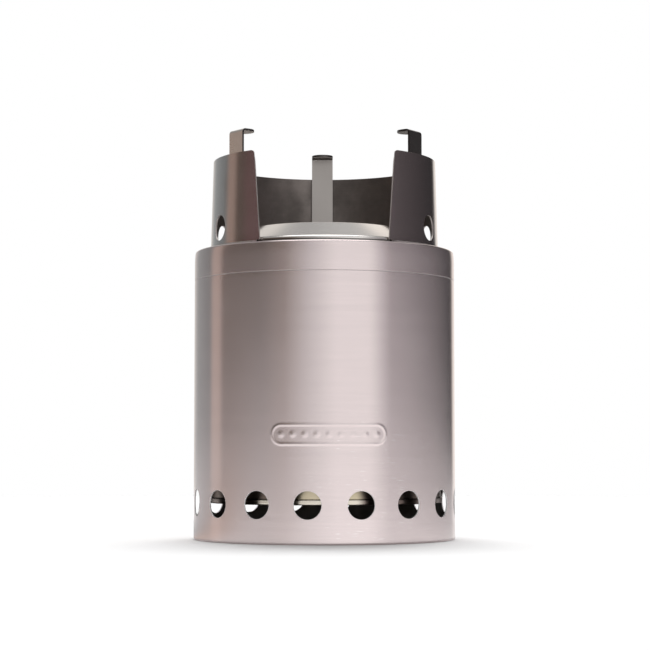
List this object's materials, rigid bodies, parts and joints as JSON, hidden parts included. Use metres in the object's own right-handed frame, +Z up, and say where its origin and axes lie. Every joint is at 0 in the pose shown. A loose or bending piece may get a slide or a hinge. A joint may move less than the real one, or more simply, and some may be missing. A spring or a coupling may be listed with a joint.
{
  "type": "camping stove",
  "caption": "Double-walled wood-burning camping stove: vented steel cylinder with an inner burn chamber, wire grate and ash pan, and a lift-off cooking ring with a feed opening.",
  "frame": {"origin": "centre of the round base, on the ground", "axes": "+Z up; the feed opening of the cooking ring faces -Y, and +X is to the right of someone facing it"},
  "size_m": [0.13, 0.13, 0.2002],
  "materials": {
    "body_steel": "stainless steel, fine brushed grain running round the body",
    "chamber_steel": "stainless steel, dulled and lightly sooted by heat",
    "ash_pan_steel": "stainless steel, spun, straw heat tint",
    "grate_wire": "heat-resistant wire, dark oxidised",
    "ring_steel": "stainless steel, brushed, purple-brown heat tint",
    "collar_steel": "stainless steel, bright spun cone",
    "support_steel": "stainless steel strip, satin, dulled by heat"
  },
  "bodies": {
    "stove_body": {"outer_wall": "body_steel", "top_cap": "body_steel", "burn_chamber": "chamber_steel", "ash_pan": "ash_pan_steel", "grate_ledge": "chamber_steel", "grate_ring_1": "grate_wire", "grate_ring_2": "grate_wire", "grate_ring_3": "grate_wire", "grate_ring_4": "grate_wire", "grate_ring_5": "grate_wire", "grate_ring_6": "grate_wire", "grate_bar_left": "grate_wire", "grate_bar_right": "grate_wire", "grate_bar_front": "grate_wire", "grate_bar_rear": "grate_wire"},
    "cooking_ring": {"cook_ring_wall": "ring_steel", "flame_collar": "collar_steel", "pot_support_left": "support_steel", "pot_support_right": "support_steel", "pot_support_rear": "support_steel"}
  },
  "joints": [
    {"name": "ring_lift", "type": "slide", "parent": "stove_body", "child": "cooking_ring", "axis": [0, 0, 1], "range_m": [0, 0.07]}
  ]
}
